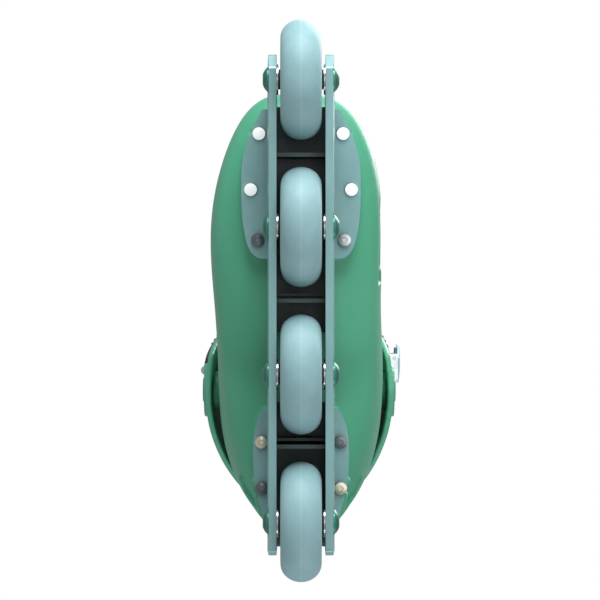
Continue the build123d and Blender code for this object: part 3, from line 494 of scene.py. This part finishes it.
def swell(obj, pinned):
    """Blows the pad up with cloth simulation, held along its seams, by SWELL_CAP at most."""
    rest = np.array([v.co for v in obj.data.vertices])
    group = obj.vertex_groups.new(name="seams")
    group.add(sorted(set(int(p) for p in pinned)), 1.0, "REPLACE")
    cloth = obj.modifiers.new("cloth", "CLOTH")
    cloth.settings.quality = 5
    cloth.settings.mass = 0.2
    cloth.settings.tension_stiffness = 10
    cloth.settings.compression_stiffness = 10
    cloth.settings.bending_stiffness = 0.3
    cloth.settings.use_pressure = True
    cloth.settings.uniform_pressure_force = CLOTH_PRESSURE
    cloth.settings.vertex_group_mass = "seams"
    cloth.settings.effector_weights.gravity = 0
    scene = bpy.context.scene
    for step in range(1, CLOTH_FRAMES + 1):
        scene.frame_set(step)
    depsgraph = bpy.context.evaluated_depsgraph_get()
    blown = np.array([v.co for v in obj.evaluated_get(depsgraph).data.vertices])
    obj.modifiers.clear()
    obj.vertex_groups.clear()
    scene.frame_set(1)
    move = blown - rest
    length = np.linalg.norm(move, axis=1, keepdims=True)
    move *= np.minimum(1, SWELL_CAP / np.maximum(length, 1e-9))
    for vertex, co in zip(obj.data.vertices, rest + move):
        vertex.co = co


def subdivided(obj):
    finer = obj.modifiers.new("finer", "SUBSURF")
    finer.levels, finer.render_levels = 1, 1
    apply_modifiers(obj)


def padding(name, grid, half, seam_rows, slot):
    """A pad on the grid, swollen between its border and its seams."""
    mesh, index = pad_mesh(name, grid, half)
    obj = new_object(name, mesh, slot, None)
    pins = [index[0][0], index[0][-1], index[0][:, 0], index[0][:, -1]]
    for row in seam_rows:
        pins += [index[0][row], index[1][row]]
    swell(obj, np.concatenate(pins))
    subdivided(obj)
    paint(obj, slot)
    return obj


def add_stitches(obj, lines, pitch=0.0032, length=0.0021, radius=0.00036):
    """Sews rows of stitches into obj's own mesh. A line is a list of points with their outward normals."""
    joined = bmesh.new()
    joined.from_mesh(obj.data)
    obj.data.materials.append(MATERIALS["thread"])
    slot_index = len(obj.data.materials) - 1
    for line in lines:
        walked, last = pitch, None
        for (point, normal), (following, _) in zip(line, line[1:]):
            run = following - point
            if run.length < 1e-7:
                continue
            walked += 0 if last is None else (point - last).length
            last = point
            if walked < pitch:
                continue
            walked = 0
            along = run.normalized()
            side = along.cross(normal).normalized()
            lift = side.cross(along)
            corners = [side * math.cos(math.radians(60 * k)) + lift * math.sin(math.radians(60 * k))
                       for k in range(6)]
            rings = []
            for t, r in ((-0.5, 0.25), (-0.3, 0.9), (0.3, 0.9), (0.5, 0.25)):
                centre = point + along * (t * length) + lift * (radius * 0.45 * (1 - 2 * abs(t)))
                rings.append([joined.verts.new(centre + corner * radius * r) for corner in corners])
            for a, b in zip(rings, rings[1:]):
                for k in range(6):
                    face = joined.faces.new((a[k], a[(k + 1) % 6], b[(k + 1) % 6], b[k]))
                    face.material_index, face.smooth = slot_index, True
    joined.to_mesh(obj.data)
    joined.free()


def seam_line(tree, spots, outward, parts):
    """Points and normals of a seam through the spots, parts to each span, dropped on the finished pad."""
    line = []
    spans = [(a.lerp(b, t / parts), d) for a, b, d in zip(spots, spots[1:], outward) for t in range(parts)]
    for point, direction in spans:
        hit, normal, _, _ = tree.ray_cast(point + direction * 0.02, -direction)
        if hit is not None:
            line.append((hit, normal if normal.dot(direction) > 0 else -normal))
    return line


def tree_of(obj):
    joined = bmesh.new()
    joined.from_mesh(obj.data)
    tree = BVHTree.FromBMesh(joined)
    joined.free()
    return tree


def channelled(count, seams, depth):
    """Full thickness between seams, pulled down to 1 - depth at each; seams are shares of the length."""
    place = np.linspace(0, 1, count)
    pulled = np.ones(count)
    for seam in seams:
        pulled = np.minimum(pulled, 1 - depth * np.exp(-((place - seam) / 0.03) ** 2))
    return pulled


# ---- boot ----------------------------------------------------------------------------------------
VOXEL = 0.0009
shell = rounded_copy("shell", "shell_moulding", None, VOXEL, 5)
rounded_copy("cuff", "cuff_moulding", "cuff", VOXEL, 5)


def heel_block():
    """Lets the heel block of the sole stand proud of the shell, with rounded shoulders at its front."""
    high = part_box("shell")[1]
    flange_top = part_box("frame")[1].z
    front, proud = high.y - 0.0405, 0.0022
    points = np.array([v.co for v in shell.data.vertices])
    normals = np.array([v.normal for v in shell.data.vertices])
    ahead = np.clip((points[:, 1] - front) / 0.004, 0, 1)
    below = np.clip((flange_top + 0.030 - points[:, 2]) / 0.004, 0, 1)
    outside = np.clip((0.35 - normals[:, 2]) / 0.3, 0, 1)
    push = proud * (ahead * ahead * (3 - 2 * ahead)) * (below * below * (3 - 2 * below)) * outside
    inner = np.hypot(points[:, 0] / 0.0465, np.maximum(points[:, 1] - 0.100, 0) / 0.043) < 0.80
    push[inner & (points[:, 2] > flange_top + 0.008)] = 0
    for vertex, co in zip(shell.data.vertices, points + normals * push[:, None]):
        vertex.co = co


def vent_line():
    """Presses in the side of the shell along a fine line that ends in a V notch, on the outer side."""
    low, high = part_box("shell")
    line_x, notch_y, front_y, depth = high.x - 0.0068, high.y - 0.1545, high.y - 0.209, 0.0013
    points = np.array([v.co for v in shell.data.vertices])
    normals = np.array([v.normal for v in shell.data.vertices])
    beyond = np.clip((points[:, 0] - line_x) / 0.0007, 0, 1)
    ahead = np.clip((notch_y - 1.3 * (points[:, 0] - line_x) - points[:, 1]) / 0.0007, 0, 1)
    behind = np.clip((points[:, 1] - front_y) / 0.012, 0, 1)
    outside = (normals[:, 0] > 0.25) & (points[:, 2] < low.z + 0.032)
    push = depth * beyond * ahead * behind * outside
    for vertex, co in zip(shell.data.vertices, points - normals * push[:, None]):
        vertex.co = co


heel_block()
vent_line()
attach(shell, "root")

liner_foot = rounded_copy("liner_foot", "liner_foot_padding", "root", 0.0018, 12)
footbed = rounded_copy("footbed", "footbed_foam", "root", 0.0015, 8)


def ankle_point(angle, height, centre):
    return Vector((centre.x, centre.y, height)), Vector((math.sin(angle), -math.cos(angle), 0))


def liner_collar():
    """The padded ankle of the liner: one pad from the shell's rim to the top, open at the front."""
    low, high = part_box("liner_collar")
    centre = Vector(((low.x + high.x) / 2, (low.y + high.y) / 2, 0))
    tree = surface_of("liner_collar", "liner_foot")
    foot_tree, collar_tree = surface_of("liner_foot"), surface_of("liner_collar")
    columns, rows = 88, 32
    slot_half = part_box("tongue_top")[1].x + 0.0012
    start = math.atan2(slot_half + 0.001, centre.y - low.y)
    angles = np.linspace(start, 2 * math.pi - start, columns)

    def reach(which, angle, height):
        """How far out a level ray from the middle of the ankle meets the inside of the liner, or nan."""
        origin, direction = ankle_point(angle, height, centre)
        distance = which.ray_cast(origin, direction)[3]
        return math.nan if distance is None else distance

    heights = np.arange(low.z - 0.03, high.z + 0.002, 0.0005)
    in_foot = [[h for h in heights if not math.isnan(reach(foot_tree, a, h))] for a in angles]
    in_collar = [[h for h in heights if not math.isnan(reach(collar_tree, a, h))] for a in angles]
    foot_top = filled_line([max(found) if found else math.nan for found in in_foot])
    rim = filled_line([max(found) if found else math.nan for found in in_collar])
    base = filled_line([reach(foot_tree, a, h - 0.001) for a, h in zip(angles, foot_top)])
    grid = np.zeros((rows, columns, 3))
    for j, angle in enumerate(angles):
        levels = np.linspace(foot_top[j] + 0.0022, rim[j], rows)
        reached = [reach(tree, angle, level) for level in levels]
        reached[0] = base[j]
        for i, (level, distance) in enumerate(zip(levels, filled_line(reached))):
            origin, direction = ankle_point(angle, level, centre)
            grid[i, j] = origin + direction * (distance + 0.0036)
    grid = smoothed(grid, 10)
    rounding = edge_rounding(rows, columns, 3.0, 3.6, 7.0)
    seams = (0.34, 0.62, 0.83)
    half = np.linspace(2.2, 4.2, rows)[:, None] * MM * rounding * channelled(rows, seams, 0.6)[:, None]
    seam_rows = [round(s * (rows - 1)) for s in seams]
    obj = padding("liner_collar_padding", grid, half, seam_rows, "liner_fabric")
    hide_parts("liner_collar")
    inward = [Vector((centre.x - p[0], centre.y - p[1], 0)).normalized() for p in grid[0]]
    finished = tree_of(obj)
    sewn = []
    for row in seam_rows:
        spots = [Vector(p) for p in grid[row]]
        sewn.append(seam_line(finished, spots, inward, 6))
        sewn.append(seam_line(finished, spots, [-d for d in inward], 6))
    add_stitches(obj, sewn)
    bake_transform(obj)
    return obj


def tongue():
    """One padded tongue from the toes to above the cuff, with sewn channels across it."""
    foot_low, foot_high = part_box("tongue")
    top_low, top_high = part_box("tongue_top")
    tree = surface_of("tongue", "tongue_top")
    spine = [Vector((0, foot_low.y + 0.004, foot_low.z - 0.022)),
             Vector((0, foot_high.y - 0.012, foot_low.z + 0.006)),
             Vector((0, top_high.y + 0.045, top_low.z - 0.035)),
             Vector((0, top_high.y + 0.045, top_high.z - 0.0012))]
    aim = [Vector((0, -0.15, 1)), Vector((0, -0.55, 0.85)), Vector((0, -1, 0.12)), Vector((0, -1, 0))]
    shares = [0, 0.42, 0.66, 1]
    rows, columns = 58, 15
    half_w = foot_high.x - 0.0008
    lines = []
    for j in range(columns):
        across = half_w * (2 * j / (columns - 1) - 1)
        line = []
        for i in range(rows):
            t = i / (rows - 1)
            k = max(n for n in range(3) if shares[n] <= t)
            part = (t - shares[k]) / (shares[k + 1] - shares[k])
            origin = spine[k].lerp(spine[k + 1], part) + Vector((across, 0, 0))
            direction = aim[k].lerp(aim[k + 1], part).normalized()
            hit = tree.ray_cast(origin, direction)[0]
            line.append(None if hit is None else hit + direction * 0.0033)
        lines.append(fill_gaps(line))
    grid = smoothed(np.array([[tuple(p) for p in line] for line in lines]).transpose(1, 0, 2), 14)
    seams = (0.2, 0.36, 0.52, 0.7, 0.86)
    rounding = edge_rounding(rows, columns, 4.6, 3.0, 7.0)
    half = np.linspace(2.4, 3.9, rows)[:, None] * MM * rounding * channelled(rows, seams, 0.55)[:, None]
    seam_rows = [round(s * (rows - 1)) for s in seams]
    obj = padding("tongue_padding", grid, half, seam_rows, "tongue_fabric")
    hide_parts("tongue", "tongue_top")
    finished = tree_of(obj)
    normals = grid_normals(grid)
    sewn = []
    for row in seam_rows:
        spots, out = [Vector(p) for p in grid[row, 1:-1]], [Vector(n) for n in normals[row, 1:-1]]
        facing = [d if d.dot(Vector((0, -1, 1))) > 0 else -d for d in out]
        sewn.append(seam_line(finished, spots, facing, 6))
    add_stitches(obj, sewn)
    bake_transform(obj)
    return obj


liner_collar()
tongue()


# ---- straps and buckle ---------------------------------------------------------------------------
def instep_strap():
    """The flat webbing strap over the instep, with an edge seam along both sides."""
    low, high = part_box("instep_strap")
    tree = surface_of("instep_strap")
    along, across = Vector((0, -0.6, 0.8)), Vector((0, 0.8, 0.6))
    middle = Vector((0, high.y - 0.0104, low.z + 0.0078))
    rows, columns, half_w = 11, 96, 0.0128
    grid = []
    for i in range(rows):
        line = []
        for j in range(columns):
            angle = math.radians(89 * (2 * j / (columns - 1) - 1))
            direction = Vector((math.sin(angle), 0, 0)) + along * math.cos(angle)
            origin = middle + across * (half_w * (2 * i / (rows - 1) - 1)) + direction * 0.14
            hit = tree.ray_cast(origin, -direction)[0]
            line.append(None if hit is None else hit - direction * 0.0010)
        grid.append(fill_gaps(line))
    grid = smoothed(np.array([[tuple(p) for p in line] for line in grid]), 2)
    rounding = edge_rounding(rows, columns, 2.5, 1.7, 1.6)
    mesh, _ = pad_mesh("instep_strap_webbing", grid, 0.95 * MM * rounding)
    obj = new_object("instep_strap_webbing", mesh, "strap_webbing", None)
    subdivided(obj)
    paint(obj, "strap_webbing")
    finished = tree_of(obj)
    sewn = []
    for row in (1, rows - 2):
        spots = [Vector(p) for p in grid[row, 2:-2]]
        outward = [(a - middle) - across * (a - middle).dot(across) for a in spots]
        sewn.append(seam_line(finished, spots, [d.normalized() for d in outward], 4))
    add_stitches(obj, sewn, 0.003, 0.0019, 0.0003)
    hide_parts("instep_strap")
    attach(obj, "root")


def ladder_strap():
    """The moulded ladder strap: the CAD strap with rounded edges and its row of ratchet teeth."""
    tree = surface_of("ladder_strap")
    low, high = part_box("ladder_strap")
    strap = rounded_copy("ladder_strap", "ladder_strap_moulding", None, 0.0005, 4)
    middle_z = (low.z + high.z) / 2
    centre = Vector((0, high.y - 0.004, middle_z))
    buckle_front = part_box("buckle_base")[0].y
    outer = []
    for k in range(720):
        angle = math.radians(-115 + 230 * k / 719)
        direction = Vector((math.sin(angle), -math.cos(angle), 0))
        hit, normal, _, _ = tree.ray_cast(centre + direction * 0.12, -direction)
        if hit is not None and low.y < hit.y < buckle_front - 0.004:
            outer.append((hit, normal))
    teeth = bmesh.new()
    teeth.from_mesh(strap.data)
    walked, pitch = 0.0, 0.0030
    half_tooth, height, half_l = 0.0009, 0.0008, (high.z - low.z) * 0.36
    for (point, normal), (following, _) in zip(outer, outer[1:]):
        walked += (following - point).length
        if walked < pitch:
            continue
        walked = 0.0
        tangent = (following - point).normalized()
        out = Vector((normal.x, normal.y, 0)).normalized()
        profile = [(-half_tooth, -0.0004), (-half_tooth * 0.9, height * 0.7), (-half_tooth * 0.4, height),
                   (half_tooth * 0.6, height * 0.35), (half_tooth, -0.0004)]
        rings = []
        for rise, shrink in ((-half_l, 0.5), (-half_l + 0.0006, 1), (half_l - 0.0006, 1), (half_l, 0.5)):
            base = point + Vector((0, 0, rise))
            rings.append([teeth.verts.new(base + tangent * t + out * (h * shrink if h > 0 else h))
                          for t, h in profile])
        for a, b in zip(rings, rings[1:]):
            for k in range(len(profile)):
                following_k = (k + 1) % len(profile)
                teeth.faces.new((a[k], a[following_k], b[following_k], b[k]))
        teeth.faces.new(rings[0])
        teeth.faces.new(list(reversed(rings[-1])))
    bmesh.ops.recalc_face_normals(teeth, faces=teeth.faces[:])
    teeth.to_mesh(strap.data)
    teeth.free()
    strap.data.polygons.foreach_set("use_smooth", [True] * len(strap.data.polygons))
    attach(strap, "strap")


instep_strap()
ladder_strap()
rounded_copy("buckle_lever", "buckle_lever_moulding", "lever", 0.0004, 3)
rounded_copy("release_pawl", "release_pawl_moulding", "pawl", 0.0003, 2)


# ---- floor, light and world ----------------------------------------------------------------------
FLOOR_HALF = 4.0
AMBIENT = 0.40


def floor():
    """A pale floor that shows only from above, because the camera looks up through it."""
    mesh = bpy.data.meshes.new("floor")
    corners = [(x * FLOOR_HALF, y * FLOOR_HALF, 0) for x, y in ((-1, -1), (1, -1), (1, 1), (-1, 1))]
    mesh.from_pydata(corners, [], [(0, 1, 2, 3)])
    obj = bpy.data.objects.new("floor", mesh)
    bpy.context.scene.collection.objects.link(obj)
    n = Nodes("floor")
    n.set(Base_Color=colour(236, 238, 238), Roughness=0.8, Emission_Strength=0.3)
    n.bsdf.inputs["Emission Color"].default_value = (1, 1, 1, 1)
    clear = n.add("ShaderNodeBsdfTransparent")
    side = n.add("ShaderNodeNewGeometry")
    mix = n.add("ShaderNodeMixShader")
    output = n.tree.nodes["Material Output"]
    n.link(side.outputs["Backfacing"], mix.inputs["Fac"])
    n.link(n.bsdf.outputs["BSDF"], mix.inputs[1])
    n.link(clear.outputs["BSDF"], mix.inputs[2])
    n.link(mix.outputs["Shader"], output.inputs["Surface"])
    mesh.materials.append(n.mat)
    obj.visible_diffuse = False
    obj.visible_glossy = False
    obj.visible_transmission = False
    obj.visible_shadow = False


def area_light(name, place, size, power, target=(0, 0, 0.08)):
    data = bpy.data.lights.new(name, "AREA")
    data.size = size
    data.energy = power
    obj = bpy.data.objects.new(name, data)
    obj.location = place
    obj.rotation_euler = (Vector(target) - Vector(place)).to_track_quat("-Z", "Y").to_euler()
    bpy.context.scene.collection.objects.link(obj)


def studio_world():
    """A white backdrop for the camera and a dimmer, even light for everything else."""
    world = bpy.data.worlds.new("studio")
    world.use_nodes = True
    tree = world.node_tree
    backdrop = tree.nodes["Background"]
    backdrop.inputs["Color"].default_value = (1, 1, 1, 1)
    ambient = tree.nodes.new("ShaderNodeBackground")
    ambient.inputs["Color"].default_value = (0.96, 0.99, 1.0, 1)
    ambient.inputs["Strength"].default_value = AMBIENT
    path = tree.nodes.new("ShaderNodeLightPath")
    mix = tree.nodes.new("ShaderNodeMixShader")
    tree.links.new(path.outputs["Is Camera Ray"], mix.inputs["Fac"])
    tree.links.new(ambient.outputs["Background"], mix.inputs[1])
    tree.links.new(backdrop.outputs["Background"], mix.inputs[2])
    tree.links.new(mix.outputs["Shader"], tree.nodes["World Output"].inputs["Surface"])
    bpy.context.scene.world = world


floor()
studio_world()
area_light("key_toe", (0.12, -1.25, -0.5), 0.7, 20)
area_light("fill_below", (0.45, -0.1, -1.5), 1.0, 3)
area_light("rim_heel", (0.25, 1.35, -0.35), 0.5, 4.5)
area_light("top_soft", (0.7, -0.9, 1.5), 1.2, 30)
bpy.context.scene.view_settings.view_transform = "Standard"
